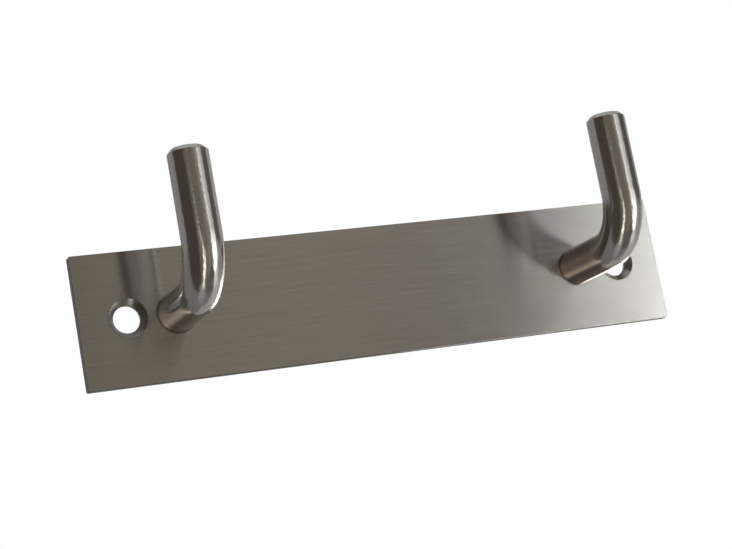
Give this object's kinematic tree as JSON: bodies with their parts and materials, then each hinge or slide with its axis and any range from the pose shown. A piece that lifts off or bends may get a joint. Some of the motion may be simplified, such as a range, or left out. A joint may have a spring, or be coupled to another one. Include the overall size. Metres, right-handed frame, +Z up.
{
  "type": "hook rail",
  "caption": "Flat brushed steel wall strip with upturned round-rod hooks and countersunk screw holes near its ends.",
  "frame": {"origin": "centre of the back face of the plate, which lies on the wall", "axes": "+X along the strip to the viewer's right, +Z up, +Y into the wall; the hooks stand out towards -Y"},
  "size_m": [0.13, 0.0305, 0.04],
  "materials": {
    "brushed_plate": "brushed along the strip",
    "satin_rod": "satin, with fine marks along the rod",
    "ground_weld": "ground flush"
  },
  "bodies": {
    "root": {"back_plate": "brushed_plate", "hook_left": "satin_rod", "hook_right": "satin_rod", "weld_left": "ground_weld", "weld_right": "ground_weld"}
  },
  "joints": []
}
